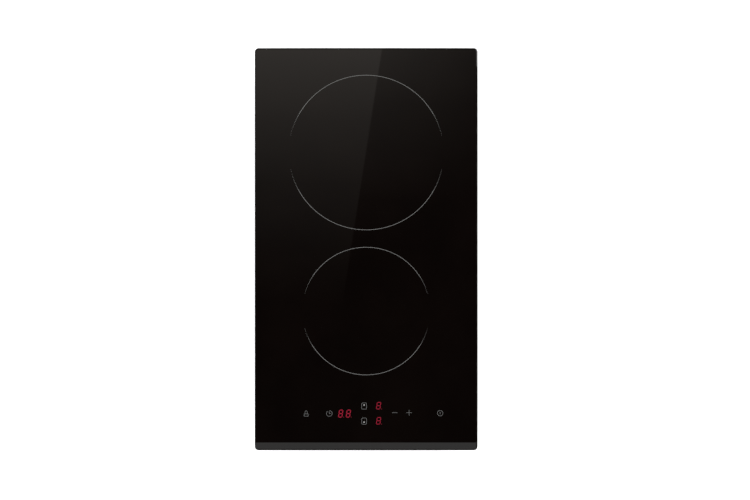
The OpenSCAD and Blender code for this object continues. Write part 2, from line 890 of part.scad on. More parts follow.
module cable_bush() {
    inner_flange_t = 3;
    neck_l = 7;
    depth = sheet_t + inner_flange_t;
    color([0.07, 0.07, 0.07])
        translate([term_x, tray_d / 2, bush_z])
            rotate([-90, 0, 0])
                difference() {
                    union() {
                        translate([0, 0, -depth]) cylinder(r = bush_r, h = depth + neck_l);
                        cylinder(r = bush_flange_r, h = 2);
                        translate([0, 0, -depth]) cylinder(r = bush_flange_r, h = inner_flange_t);
                    }
                    translate([0, 0, -depth - cut]) cylinder(r = inlet_r, h = depth + neck_l + 2 * cut);
                }
}

// ---------------------------------------------------------------- coils

function turn_count(coil_r) = floor((coil_r - coil_bore_r) / (2 * litz_r + litz_gap));

module coil_plate(coil_r, post_ring, posts) {
    difference() {
        rod(coil_r + plate_margin, coil_z, coil_z + plate_t);
        rod(10, coil_z - cut, coil_z + plate_t + cut);
        for (a = posts)
            rotate(a) translate([post_ring, 0, 0])
                rod(guide_r + guide_gap, coil_z - cut, coil_z + plate_t + cut);
        for (a = [0 : 45 : 315])
            rotate(a) translate([coil_r * 0.55, 0, 0]) rod(5, coil_z - cut, coil_z + plate_t + cut);
    }
}

// Plastic dish: floor under the winding, hub, outer rim and legs down to the plate
module coil_former(coil_r, post_ring, posts) {
    difference() {
        union() {
            rod(coil_r, former_z, former_z + former_t);
            tube(coil_r, coil_r - 1.5, former_z, glass_z - mica_t);
            tube(coil_bore_r - 0.5, coil_bore_r - 2, coil_z + plate_t, glass_z - mica_t);
            for (a = posts)
                rotate(a + 180) translate([post_ring, 0, 0]) rod(4, coil_z + plate_t, former_z + cut);
        }
        rod(coil_bore_r - 2, former_z - cut, glass_z);
        for (a = posts)
            rotate(a) translate([post_ring, 0, 0])
                rod(guide_r + 1.5, former_z - cut, former_z + former_t + cut);
    }
}

module coil_ferrites(coil_r) {
    count = 8;
    for (i = [0 : count - 1])
        rotate((i + 0.5) * 360 / count)
            block([coil_bore_r + 3, -ferrite_w / 2, ferrite_z],
                  [coil_r - 10, ferrite_w / 2, ferrite_z + ferrite_h]);
}

module coil_winding(coil_r) {
    turns = turn_count(coil_r) - 1;
    for (i = [0 : turns - 1])
        rotate_extrude()
            translate([coil_bore_r + litz_r + 0.5 + i * (2 * litz_r + litz_gap), winding_z + litz_r])
                circle(litz_r, $fn = 24);
}

module coil_mica(coil_r) {
    tube(coil_r - 2, 12, glass_z - mica_t, glass_z);
}

module coil_sensor() {
    union() {
        rod(9, glass_z - 6, glass_z);
        rod(12.5, glass_z - 8, glass_z - 6 + cut);
        rod(6, coil_z + plate_t, glass_z - 8 + cut);
        block([-coil_bore_r + 2.2, -3, glass_z - 8], [coil_bore_r - 2.2, 3, glass_z - 6.5]);
    }
}

module coil_springs() {
    tube(spring_r, spring_r - spring_t, post_top_z, coil_z);
}

module coil_posts() {
    color([0.75, 0.75, 0.76]) {
        at_rear_posts() {
            rod(post_r, inner_z, post_top_z);
            rod(guide_r, post_top_z - cut, guide_top_z);
        }
        at_front_posts() {
            rod(post_r, inner_z, post_top_z);
            rod(guide_r, post_top_z - cut, guide_top_z);
        }
    }
}

module rear_coil_plate() {
    color([0.78, 0.79, 0.8])
        translate([0, rear_zone_y, 0])
            coil_plate(rear_coil_r, rear_post_r, REAR_POSTS);
}

module rear_coil_former() {
    color([0.12, 0.12, 0.12])
        translate([0, rear_zone_y, 0])
            coil_former(rear_coil_r, rear_post_r, REAR_POSTS);
}

module rear_coil_ferrites() {
    color([0.2, 0.2, 0.21]) translate([0, rear_zone_y, 0]) coil_ferrites(rear_coil_r);
}

module rear_coil_winding() {
    color([0.72, 0.42, 0.2]) translate([0, rear_zone_y, 0]) coil_winding(rear_coil_r);
}

module rear_coil_mica() {
    color([0.75, 0.7, 0.6]) translate([0, rear_zone_y, 0]) coil_mica(rear_coil_r);
}

module rear_coil_sensor() {
    color([0.85, 0.85, 0.85]) translate([0, rear_zone_y, 0]) coil_sensor();
}

module rear_coil_springs() {
    color([0.8, 0.8, 0.8]) at_rear_posts() coil_springs();
}

module front_coil_plate() {
    color([0.78, 0.79, 0.8])
        translate([0, -front_zone_y, 0])
            coil_plate(front_coil_r, front_post_r, FRONT_POSTS);
}

module front_coil_former() {
    color([0.12, 0.12, 0.12])
        translate([0, -front_zone_y, 0])
            coil_former(front_coil_r, front_post_r, FRONT_POSTS);
}

module front_coil_ferrites() {
    color([0.2, 0.2, 0.21]) translate([0, -front_zone_y, 0]) coil_ferrites(front_coil_r);
}

module front_coil_winding() {
    color([0.72, 0.42, 0.2]) translate([0, -front_zone_y, 0]) coil_winding(front_coil_r);
}

module front_coil_mica() {
    color([0.75, 0.7, 0.6]) translate([0, -front_zone_y, 0]) coil_mica(front_coil_r);
}

module front_coil_sensor() {
    color([0.85, 0.85, 0.85]) translate([0, -front_zone_y, 0]) coil_sensor();
}

module front_coil_springs() {
    color([0.8, 0.8, 0.8]) at_front_posts() coil_springs();
}

// ---------------------------------------------------------------- leads

lead_r = 1.6;
lead_exit_z = former_z - lead_r - 0.3;
terminal_top_z = parts_z + 6;

// Coil lead: out under the former at an angle, over the plate's edge, down onto its terminal
module coil_lead(zone_y, coil_r, angle, terminal) {
    out = [cos(angle), sin(angle), 0];
    centre = [0, zone_y, lead_exit_z];
    edge = coil_r + plate_margin + lead_r + 1;
    wire([
        centre + (coil_r - 7) * out,
        centre + (edge - 3) * out,
        centre + (edge + 2) * out - [0, 0, 2],
        centre + (edge + 5) * out - [0, 0, 9],
        [terminal.x, terminal.y, terminal_top_z + 12],
        [terminal.x, terminal.y, terminal_top_z + 5],
        [terminal.x, terminal.y, terminal_top_z + 0.1]
    ], lead_r);
}

module rear_coil_leads() {
    color([0.75, 0.45, 0.2]) {
        coil_lead(rear_zone_y, rear_coil_r, 220, REAR_TERMINALS[0]);
        coil_lead(rear_zone_y, rear_coil_r, 228, REAR_TERMINALS[1]);
    }
}

module front_coil_leads() {
    color([0.75, 0.45, 0.2]) {
        coil_lead(-front_zone_y, front_coil_r, 14, FRONT_TERMINALS[0]);
        coil_lead(-front_zone_y, front_coil_r, 2, FRONT_TERMINALS[1]);
    }
}

mains_r = 1.3;

module mains_leads() {
    color([0.45, 0.25, 0.12])
        for (i = [0, 1, 3])
            wire([
                [term_x + (i - 2) * pole_pitch, block_y - 7, terminal_z],
                [term_x + (i - 2) * pole_pitch, block_y - 11, terminal_z],
                [term_x + (i - 2) * pole_pitch, block_y - 18, terminal_z],
                [84 + 3 * i, block_y - 55 + 3 * i, inner_z + 6 + 3 * i],
                [90 + 3 * i, 110, inner_z + 6 + 3 * i],
                [84 + 3.2 * i, 84, inner_z + 12],
                [84 + 3.2 * i, 64, parts_z + 9]
            ], mains_r);
}

module fan_lead() {
    color([0.7, 0.1, 0.1])
        wire([
            [-blower_x - scroll_r - blower_t, blower_y + 10, blower_z + 12],
            [-blower_x - scroll_r - 8, blower_y + 6, blower_z + 9],
            [-84, 110, blower_z + 8],
            [-92, 86, parts_z + 5],
            [-88, 68, parts_z + 13],
            [-88, 62, parts_z + 11],
            [-88, 62, parts_z + 4]
        ], 1);
}

module earth_lead() {
    lug_t = 1.2;
    lug_x = term_x + 28;
    lug_y = hatch_y - 26;
    color([0.4, 0.6, 0.1]) {
        wire([
            [term_x + 2 * pole_pitch, block_y - 7, terminal_z],
            [term_x + 2 * pole_pitch, block_y - 11, terminal_z],
            [term_x + 2 * pole_pitch, block_y - 18, terminal_z],
            [lug_x, hatch_y - 14, terminal_z - 6],
            [lug_x, lug_y + 4, inner_z + lug_t + 1.2]
        ], 1.1);
        translate([lug_x, lug_y, 0]) tube(4, 1.6, inner_z, inner_z + lug_t);
    }
}

// ---------------------------------------------------------------- controls

module control_carrier() {
    low_y = carrier_y - carrier_d / 2;
    high_y = carrier_y + carrier_d / 2;
    color([0.12, 0.12, 0.13])
        difference() {
            union() {
                block([-carrier_w / 2, low_y, carrier_z], [carrier_w / 2, high_y, glass_z]);
                for (x = [-90, 0, 90]) translate([x, carrier_y, 0]) rod(4, inner_z, carrier_z + cut);
            }
            block([-carrier_w / 2 + 2, low_y + 2, carrier_z + carrier_t],
                  [carrier_w / 2 - 2, high_y - 2, glass_z + cut]);
            block([ribbon_x - 17, high_y - 3, carrier_z + carrier_t],
                  [ribbon_x + 17, high_y + cut, carrier_z + carrier_t + 4]);
        }
}

module control_board() {
    color([0.1, 0.1, 0.1])
        block([-carrier_w / 2 + 2.5, carrier_y - carrier_d / 2 + 2.5, touch_board_z],
              [carrier_w / 2 - 2.5, carrier_y + carrier_d / 2 - 2.5, touch_board_z + board_t]);
}

// Read-out block with its seven-segment face against the glass
module display(x, y, w, h) {
    block([x - w / 2, y - h / 2, touch_board_z + board_t], [x + w / 2, y + h / 2, glass_z]);
}

module led_displays() {
    color([0.6, 0.1, 0.15]) {
        display(timer_x, control_y, 2 * digit_pitch, digit_h + 3);
        for (s = [-1, 1]) display(level_x, control_y + s * zone_step, digit_pitch, digit_h + 3);
    }
}

module touch_springs() {
    color([0.8, 0.8, 0.75])
        for (p = TOUCH)
            translate([p.x, control_y + p.y, 0]) tube(4, 3, touch_board_z + board_t, glass_z);
}

module ribbon_cable() {
    top = touch_board_z + board_t;
    rear_y = carrier_y + carrier_d / 2;
    t = 0.8;
    color([0.75, 0.75, 0.72])
        translate([ribbon_x - 14, 0, 0])
            rotate([90, 0, 90])
                linear_extrude(28)
                    polygon([
                        [rear_y - 8, top], [rear_y + 8, top], [-158, parts_z + 16], [-146, parts_z + 12],
                        [-138.4, parts_z + 12], [-138.4, parts_z + 3], [-137.6, parts_z + 3],
                        [-137.6, parts_z + 12 + t], [-146.3, parts_z + 12 + t], [-157.7, parts_z + 16 + t],
                        [rear_y + 8.4, top + t], [rear_y - 8, top + t]
                    ]);
}

// ---------------------------------------------------------------- worktop clamps

module clamp_screw() {
    difference() {
        union() {
            rod(clamp_head_r, clamp_head_z, clamp_head_z + clamp_head_h);
            rod(clamp_r, clamp_head_z + clamp_head_h - cut, shoulder_z + nut_h + 1);
        }
        for (a = [0, 90])
            rotate(a) translate([-3, -0.5, clamp_head_z - cut]) cube([6, 1, 1.3]);
    }
}

// Flanged washer: the arm turns on its collar
module clamp_washer() {
    tube(washer_r, clamp_r + 0.1, washer_z, washer_z + washer_t);
    tube(collar_r, clamp_r + 0.1, washer_z + washer_t - cut, arm_z + collar_h);
}

// Arm with its tip turned up to bite on the worktop's underside
module clamp_arm() {
    difference() {
        union() {
            rod(arm_w / 2, arm_z, arm_z + arm_t);
            block([0, -arm_w / 2, arm_z], [arm_l - arm_w / 2, arm_w / 2, arm_z + arm_t]);
            block([arm_l - arm_w / 2 - arm_t, -arm_w / 2, arm_z],
                  [arm_l - arm_w / 2, arm_w / 2, arm_z + tip_h]);
        }
        rod(collar_r + 0.08, arm_z - cut, arm_z + arm_t + cut);
    }
}

module front_clamp_screw() {
    color([0.8, 0.8, 0.8]) translate([0, -clamp_y, 0]) clamp_screw();
}

module front_clamp_washer() {
    color([0.75, 0.7, 0.5]) translate([0, -clamp_y, 0]) clamp_washer();
}

module front_clamp_arm() {
    color([0.7, 0.7, 0.72]) translate([0, -clamp_y, 0]) clamp_arm();
}

module rear_clamp_screw() {
    color([0.8, 0.8, 0.8]) translate([0, clamp_y, 0]) clamp_screw();
}

module rear_clamp_washer() {
    color([0.75, 0.7, 0.5]) translate([0, clamp_y, 0]) clamp_washer();
}

module rear_clamp_arm() {
    color([0.7, 0.7, 0.72]) translate([0, clamp_y, 0]) rotate(180) clamp_arm();
}

// ---------------------------------------------------------------- the nodes

glass_top();
zone_print();
control_print();
worktop_seal();
support_frame();
bottom_case();
case_screws();
blower_housing();
blower_base();
fan_motor();
fan_rotor();
inner_screws();
power_board();
board_standoffs();
heatsink();
power_transistors();
bridge_rectifier();
film_capacitors();
bulk_capacitors();
filter_choke();
supply_transformer();
board_fuse();
board_headers();
coil_terminals();
terminal_block();
terminal_cover();
cable_bush();
mains_leads();
fan_lead();
earth_lead();
coil_posts();
rear_coil_plate();
rear_coil_former();
rear_coil_ferrites();
rear_coil_winding();
rear_coil_mica();
rear_coil_sensor();
rear_coil_springs();
rear_coil_leads();
front_coil_plate();
front_coil_former();
front_coil_ferrites();
front_coil_winding();
front_coil_mica();
front_coil_sensor();
front_coil_springs();
front_coil_leads();
control_carrier();
control_board();
led_displays();
touch_springs();
ribbon_cable();
front_clamp_screw();
front_clamp_washer();
front_clamp_arm();
rear_clamp_screw();
rear_clamp_washer();
rear_clamp_arm();
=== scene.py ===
import json
import math

import bmesh
import bpy
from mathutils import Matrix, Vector


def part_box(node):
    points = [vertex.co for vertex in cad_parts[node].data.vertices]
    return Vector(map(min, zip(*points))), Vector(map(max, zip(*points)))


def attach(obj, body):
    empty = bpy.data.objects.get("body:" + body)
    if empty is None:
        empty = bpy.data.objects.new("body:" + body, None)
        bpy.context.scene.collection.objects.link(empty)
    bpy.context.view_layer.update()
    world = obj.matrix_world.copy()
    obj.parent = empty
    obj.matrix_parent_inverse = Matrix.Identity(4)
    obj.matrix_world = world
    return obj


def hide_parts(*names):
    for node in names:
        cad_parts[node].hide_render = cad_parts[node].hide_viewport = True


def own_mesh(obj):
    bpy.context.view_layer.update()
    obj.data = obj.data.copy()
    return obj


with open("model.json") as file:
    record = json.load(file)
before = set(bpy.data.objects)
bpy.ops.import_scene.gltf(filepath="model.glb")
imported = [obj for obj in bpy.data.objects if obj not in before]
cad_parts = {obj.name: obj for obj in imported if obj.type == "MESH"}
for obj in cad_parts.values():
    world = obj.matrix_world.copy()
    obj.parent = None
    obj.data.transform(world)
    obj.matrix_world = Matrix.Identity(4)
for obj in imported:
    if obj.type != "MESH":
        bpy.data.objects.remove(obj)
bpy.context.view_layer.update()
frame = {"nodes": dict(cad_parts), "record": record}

MM = 0.001

# Places taken from the frame
GLASS_LOW, GLASS_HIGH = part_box("glass_top")
TOP_Z = GLASS_HIGH.z

# ---------------------------------------------------------------- camera

# Lens and sensor in millimetres
LENS = 200.0
SENSOR = 36.0
# Width of the view at the height of the glass, in metres
VIEW_WIDTH = 0.9696
CAMERA_X = 0.0114
CAMERA_Y = -0.00104
# Height of the camera over the glass
CAMERA_RISE = VIEW_WIDTH * LENS / SENSOR


def make_camera():
    """Camera straight above the hob, with a long lens."""
    data = bpy.data.cameras.new("camera")
    data.type = "PERSP"
    data.lens = LENS
    data.sensor_width = SENSOR
    data.clip_end = 200
    camera = bpy.data.objects.new("camera", data)
    bpy.context.scene.collection.objects.link(camera)
    camera.location = (CAMERA_X, CAMERA_Y, TOP_Z + CAMERA_RISE)
    bpy.context.scene.camera = camera


# ---------------------------------------------------------------- node helpers

def new_tree(name):
    """New material with a Principled shader, its node tree and that shader."""
    material = bpy.data.materials.new(name)
    material.use_nodes = True
    tree = material.node_tree
    tree.nodes.clear()
    output = tree.nodes.new("ShaderNodeOutputMaterial")
    shader = tree.nodes.new("ShaderNodeBsdfPrincipled")
    tree.links.new(shader.outputs["BSDF"], output.inputs["Surface"])
    return material, tree, shader


def coordinates(tree, scale=(1, 1, 1), turn=(0, 0, 0)):
    """Object coordinates in metres, stretched by scale."""
    coord = tree.nodes.new("ShaderNodeTexCoord")
    mapping = tree.nodes.new("ShaderNodeMapping")
    mapping.inputs["Scale"].default_value = scale
    mapping.inputs["Rotation"].default_value = turn
    tree.links.new(coord.outputs["Object"], mapping.inputs["Vector"])
    return mapping.outputs["Vector"]


def noise(tree, vector, scale, detail=4.0, rough=0.55):
    """Cloudy noise; scale is its cells per metre of vector."""
    node = tree.nodes.new("ShaderNodeTexNoise")
    node.inputs["Scale"].default_value = scale
    node.inputs["Detail"].default_value = detail
    node.inputs["Roughness"].default_value = rough
    tree.links.new(vector, node.inputs["Vector"])
    return node.outputs["Fac"]


def ramp(tree, fac, low, high, start=0.3, stop=0.7):
    """Colours from low to high as fac goes from start to stop."""
    node = tree.nodes.new("ShaderNodeValToRGB")
    node.color_ramp.elements[0].position = start
    node.color_ramp.elements[0].color = (*low, 1)
    node.color_ramp.elements[1].position = stop
    node.color_ramp.elements[1].color = (*high, 1)
    tree.links.new(fac, node.inputs["Fac"])
    return node.outputs["Color"]


def spread(tree, fac, low, high):
    """fac from 0..1 to low..high."""
    node = tree.nodes.new("ShaderNodeMapRange")
    node.inputs["To Min"].default_value = low
    node.inputs["To Max"].default_value = high
    tree.links.new(fac, node.inputs["Value"])
    return node.outputs["Result"]


def math_node(tree, kind, a, b):
    """Math node of two values, each a number or another node's output."""
    node = tree.nodes.new("ShaderNodeMath")
    node.operation = kind
    for i, value in enumerate((a, b)):
        if isinstance(value, (int, float)):
            node.inputs[i].default_value = value
        else:
            tree.links.new(value, node.inputs[i])
    return node.outputs[0]


def blended(tree, first, second, share):
    """share of first and the rest of second."""
    one = math_node(tree, "MULTIPLY", first, share)
    two = math_node(tree, "MULTIPLY", second, round(1 - share, 6))
    return math_node(tree, "ADD", one, two)


def paint_base(tree, shader, color):
    tree.links.new(color, shader.inputs["Base Color"])


def set_gloss(tree, shader, roughness):
    tree.links.new(roughness, shader.inputs["Roughness"])


def bump(tree, shader, height, distance, strength=1.0):
    """Relief of distance metres on the shader's surface."""
    node = tree.nodes.new("ShaderNodeBump")
    node.inputs["Distance"].default_value = distance
    node.inputs["Strength"].default_value = strength
    tree.links.new(height, node.inputs["Height"])
    tree.links.new(node.outputs["Normal"], shader.inputs["Normal"])


def tone(color, k):
    """The colour k times as bright, at most white."""
    return tuple(min(1.0, c * k) for c in color)


# ---------------------------------------------------------------- materials

def plastic(name, color, rough=(0.4, 0.55), grain=1500.0, depth=0.00003):
    """Moulded plastic: fine spark-eroded grain, slight tone and gloss changes."""
    material, tree, shader = new_tree(name)
    vector = coordinates(tree)
    cloud = noise(tree, vector, 60, 3)
    fine = noise(tree, vector, grain, 2)
    paint_base(tree, shader, ramp(tree, cloud, tone(color, 0.86), tone(color, 1.1)))
    set_gloss(tree, shader, spread(tree, cloud, *rough))
    bump(tree, shader, fine, depth, 0.5)
    return material


def metal(name, color, rough=(0.28, 0.42), stretch=(1, 1, 1), grain=400.0, depth=0.00002):
    """Bare metal, its drawn or turned grain along the axis where stretch is smallest."""
    material, tree, shader = new_tree(name)
    shader.inputs["Metallic"].default_value = 1.0
    lines = noise(tree, coordinates(tree, stretch), grain, 4, 0.6)
    cloud = noise(tree, coordinates(tree), 35, 4)
    mixed = blended(tree, lines, cloud, 0.6)
    paint_base(tree, shader, ramp(tree, mixed, tone(color, 0.66), tone(color, 1.0)))
    set_gloss(tree, shader, spread(tree, mixed, *rough))
    bump(tree, shader, lines, depth, 0.4)
    return material


def galvanised(name, color):
    """Zinc-coated sheet: crystals of slightly different tone and gloss, faint rolling lines."""
    material, tree, shader = new_tree(name)
    shader.inputs["Metallic"].default_value = 1.0
    cells = tree.nodes.new("ShaderNodeTexVoronoi")
    cells.inputs["Scale"].default_value = 160
    warp = tree.nodes.new("ShaderNodeVectorMath")
    warp.operation = "MULTIPLY_ADD"
    warp.inputs[1].default_value = (0.004, 0.004, 0.004)
    wobble = tree.nodes.new("ShaderNodeTexNoise")
    wobble.inputs["Scale"].default_value = 220
    vector = coordinates(tree)
    tree.links.new(vector, wobble.inputs["Vector"])
    tree.links.new(wobble.outputs["Color"], warp.inputs[0])
    tree.links.new(vector, warp.inputs[2])
    tree.links.new(warp.outputs[0], cells.inputs["Vector"])
    split = tree.nodes.new("ShaderNodeSeparateColor")
    tree.links.new(cells.outputs["Color"], split.inputs[0])
    crystal = split.outputs[0]
    lines = noise(tree, coordinates(tree, (1, 0.03, 1)), 900, 3)
    both = blended(tree, crystal, lines, 0.55)
    paint_base(tree, shader, ramp(tree, both, tone(color, 0.66), tone(color, 0.98), 0.15, 0.85))
    set_gloss(tree, shader, spread(tree, both, 0.28, 0.5))
    bump(tree, shader, lines, 0.00001, 0.5)
    return material


def rubbery(name, color, cell=900.0, depth=0.0002):
    """Rubber or foam: matt, with open pores at the size of cell."""
    material, tree, shader = new_tree(name)
    vector = coordinates(tree)
    pores = tree.nodes.new("ShaderNodeTexVoronoi")
    pores.inputs["Scale"].default_value = cell
    tree.links.new(vector, pores.inputs["Vector"])
    cloud = noise(tree, vector, 90, 4)
    paint_base(tree, shader, ramp(tree, cloud, tone(color, 0.8), tone(color, 1.25)))
    set_gloss(tree, shader, spread(tree, cloud, 0.75, 0.92))
    bump(tree, shader, pores.outputs["Distance"], depth, 0.5)
    return material


def ceramic(name, color, rough=(0.3, 0.45), fleck=1200.0):
    """Fired or sintered surface with fine flecks."""
    material, tree, shader = new_tree(name)
    vector = coordinates(tree)
    flecks = noise(tree, vector, fleck, 3)
    paint_base(tree, shader, ramp(tree, flecks, tone(color, 0.85), tone(color, 1.1)))
    set_gloss(tree, shader, spread(tree, flecks, *rough))
    bump(tree, shader, flecks, 0.00001, 0.4)
    return material


def black_glass(name):
    """Polished glass ceramic: near black body, hairline wipe marks in its gloss."""
    material, tree, shader = new_tree(name)
    shader.inputs["IOR"].default_value = 1.5
    vector = coordinates(tree)
    cloud = noise(tree, vector, 14, 3)
    paint_base(tree, shader, ramp(tree, cloud, (0.0016, 0.00095, 0.0008), (0.0023, 0.0014, 0.00115)))
    wipes = noise(tree, coordinates(tree, (1, 0.12, 1), (0, 0, 0.5)), 60, 5, 0.6)
    set_gloss(tree, shader, spread(tree, wipes, 0.006, 0.022))
    return material


def enamel(name, color):
    """Fired print: matt, slightly grainy edge to edge."""
    material, tree, shader = new_tree(name)
    flecks = noise(tree, coordinates(tree), 2600, 3)
    paint_base(tree, shader, ramp(tree, flecks, tone(color, 0.8), tone(color, 1.08), 0.35, 0.65))
    set_gloss(tree, shader, spread(tree, flecks, 0.5, 0.7))
    return material


def light_bar(name, color, strength):
    """Light spot seen through the glass: slightly uneven, as a diffuser is. Also gives the printed zone dots
    their painted glow.
    """
    material, tree, shader = new_tree(name)
    shader.inputs["Roughness"].default_value = 0.6
    shader.inputs["Specular IOR Level"].default_value = 0.1
    cloud = noise(tree, coordinates(tree), 700, 2)
    paint = ramp(tree, cloud, tone(color, 0.85), tone(color, 1.1))
    tree.links.new(paint, shader.inputs["Emission Color"])
    paint_base(tree, shader, ramp(tree, cloud, tone(color, 0.03), tone(color, 0.06)))
    shader.inputs["Emission Strength"].default_value = strength
    return material


def circuit_board(name, mask, track):
    """Solder resist over copper tracks."""
    material, tree, shader = new_tree(name)
    tracks = tree.nodes.new("ShaderNodeTexBrick")
    tracks.inputs["Scale"].default_value = 90
    tracks.inputs["Mortar Size"].default_value = 0.035
    tracks.inputs["Mortar Smooth"].default_value = 0.2
    tracks.offset = 0.35
    tracks.squash = 0.6
    tracks.inputs["Color1"].default_value = (*mask, 1)
    tracks.inputs["Color2"].default_value = (*tone(mask, 0.8), 1)
    tracks.inputs["Mortar"].default_value = (*track, 1)
    tree.links.new(coordinates(tree), tracks.inputs["Vector"])
    tree.links.new(tracks.outputs["Color"], shader.inputs["Base Color"])
    cloud = noise(tree, coordinates(tree), 120, 3)
    set_gloss(tree, shader, spread(tree, cloud, 0.25, 0.4))
    bump(tree, shader, tracks.outputs["Fac"], 0.00005, 0.6)
    return material


# Wave texture scale of the woven sleeve, whose strands come out near a millimetre wide
BRAID_SCALE = 1500.0 / 6.28


def braided(name, color):
    """Woven sleeve: crossing slanted strands."""
    material, tree, shader = new_tree(name)
    strands = []
    for turn in (0.7, -0.7):
        wave = tree.nodes.new("ShaderNodeTexWave")
        wave.inputs["Scale"].default_value = BRAID_SCALE
        wave.inputs["Distortion"].default_value = 1.2
        tree.links.new(coordinates(tree, turn=(turn, turn, turn)), wave.inputs["Vector"])
        strands.append(wave.outputs["Fac"])
    weave = math_node(tree, "MAXIMUM", strands[0], strands[1])
    paint_base(tree, shader, ramp(tree, weave, tone(color, 0.55), tone(color, 1.15), 0.2, 0.9))
    set_gloss(tree, shader, spread(tree, weave, 0.75, 0.5))
    bump(tree, shader, weave, 0.00012, 0.8)
    return material


def litz(name, color):
    """Enamelled copper strands twisted together."""
    material, tree, shader = new_tree(name)
    shader.inputs["Metallic"].default_value = 0.85
    wave = tree.nodes.new("ShaderNodeTexWave")
    wave.inputs["Scale"].default_value = 420
    wave.inputs["Distortion"].default_value = 2.5
    wave.inputs["Detail"].default_value = 2
    tree.links.new(coordinates(tree, turn=(0.6, 0.4, 0.8)), wave.inputs["Vector"])
    strands = wave.outputs["Fac"]
    paint_base(tree, shader, ramp(tree, strands, tone(color, 0.45), tone(color, 1.15), 0.1, 0.8))
    set_gloss(tree, shader, spread(tree, strands, 0.45, 0.28))
    bump(tree, shader, strands, 0.0001, 0.8)
    return material


def mica_sheet(name, color):
    """Layered pearly flakes."""
    material, tree, shader = new_tree(name)
    flakes = tree.nodes.new("ShaderNodeTexVoronoi")
    flakes.inputs["Scale"].default_value = 260
    tree.links.new(coordinates(tree), flakes.inputs["Vector"])
    depth = flakes.outputs["Distance"]
    paint_base(tree, shader, ramp(tree, depth, tone(color, 0.7), tone(color, 1.2), 0.0, 0.8))
    set_gloss(tree, shader, spread(tree, depth, 0.2, 0.5))
    return material


def make_materials():
    """One material for each of the record's slots."""
    colors = {m["slot"]: tuple(m["base_color"][:3]) for m in frame["record"]["materials"]}
    along_y = (1, 0.04, 1)
    made = {"glass": black_glass("glass")}
    made["zone_enamel"] = enamel("zone_enamel", colors["zone_enamel"])
    made["icon_enamel"] = enamel("icon_enamel", colors["icon_enamel"])
    made["seal_foam"] = rubbery("seal_foam", colors["seal_foam"])
    made["bush_rubber"] = rubbery("bush_rubber", colors["bush_rubber"], 2500, 0.00005)
    made["sensor_silicone"] = rubbery("sensor_silicone", colors["sensor_silicone"], 2500, 0.00005)
    for slot in ("frame_steel", "case_steel", "clamp_steel"):
        made[slot] = galvanised(slot, colors[slot])
    for slot in ("screw_steel", "post_steel", "spring_steel", "washer_zinc", "terminal_brass",
                 "choke_copper"):
        made[slot] = metal(slot, colors[slot], grain=1500)
    made["sink_aluminium"] = metal("sink_aluminium", colors["sink_aluminium"], stretch=along_y, grain=900)
    made["plate_aluminium"] = metal("plate_aluminium", colors["plate_aluminium"], stretch=along_y, grain=700)
    made["motor_iron"] = metal("motor_iron", colors["motor_iron"], (0.4, 0.6), (1, 1, 30), 60, 0.0001)
    made["litz_copper"] = litz("litz_copper", colors["litz_copper"])
    made["litz_sleeve"] = braided("litz_sleeve", colors["litz_sleeve"])
    made["mica"] = mica_sheet("mica", colors["mica"])
    made["board_green"] = circuit_board("board_green", colors["board_green"], (0.05, 0.24, 0.1))
    made["board_black"] = circuit_board("board_black", colors["board_black"], (0.04, 0.04, 0.035))
    made["ferrite"] = ceramic("ferrite", colors["ferrite"], (0.55, 0.75))
    made["fuse_ceramic"] = ceramic("fuse_ceramic", colors["fuse_ceramic"])
    made["display_red"] = light_bar("display_red", colors["display_red"], 0.3)
    for slot, color in colors.items():
        if slot not in made:
            made[slot] = plastic(slot, color)
    return made


# ---------------------------------------------------------------- mesh helpers

def piece_from(name, vertices, faces, body, slot, material, rounded=True):
    """New piece that rides on body; rounded shades its faces as one curved surface."""
    mesh = bpy.data.meshes.new(name)
    mesh.from_pydata([tuple(v) for v in vertices], [], faces)
    mesh.validate()
    for polygon in mesh.polygons:
        polygon.use_smooth = rounded
    mesh.update()
    piece = bpy.data.objects.new(name, mesh)
    bpy.context.scene.collection.objects.link(piece)
    mesh.materials.append(material)
    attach(piece, body)
    return piece


def swept(path, radius, sides=10):
    """Vertices and faces of a closed tube along path, with a frame carried from ring to ring."""
    vertices, faces = [], []
    count = len(path)
    side = None
    for i, point in enumerate(path):
        along = (path[min(i + 1, count - 1)] - path[max(i - 1, 0)]).normalized()
        if side is None:
            steep = abs(along.z) >= 0.8
            side = Vector((1, 0, 0)) if steep else Vector((0, 0, 1))
        side = (side - side.dot(along) * along).normalized()
        other = along.cross(side)
        for k in range(sides):
            angle = 2 * math.pi * k / sides
            vertices.append(point + radius * (math.cos(angle) * side + math.sin(angle) * other))
    for i in range(count - 1):
        for k in range(sides):
            n = (k + 1) % sides
            faces.append((i * sides + k, i * sides + n, (i + 1) * sides + n, (i + 1) * sides + k))
    faces.append(tuple(reversed(range(sides))))
    faces.append(tuple((count - 1) * sides + k for k in range(sides)))
    return vertices, faces


def joined(parts):
    """One vertex and face list out of several."""
    vertices, faces = [], []
    for part_vertices, part_faces in parts:
        base = len(vertices)
        vertices += part_vertices
        faces += [tuple(base + i for i in face) for face in part_faces]
    return vertices, faces


# How far a spring's closed end turns climb, as a share of the wire's radius
END_TURN_CLIMB = 0.12


def helix(centre, radius, low, high, wire, turns, steps=20):
    """Compression spring from low to high, with a closed turn at each end; wire is the wire's radius."""
    path = []
    total = (turns + 2) * steps
    rise = high - low - 2 * wire
    for i in range(total + 1):
        turn = i / steps
        climb = min(max((turn - 1) / turns, 0), 1)
        end = END_TURN_CLIMB * wire * (min(turn - 1, 0) + max(turn - turns - 1, 0))
        angle = 2 * math.pi * turn
        x = centre[0] + radius * math.cos(angle)
        y = centre[1] + radius * math.sin(angle)
        path.append(Vector((x, y, low + wire + rise * climb + end)))
    return swept(path, wire, 8)


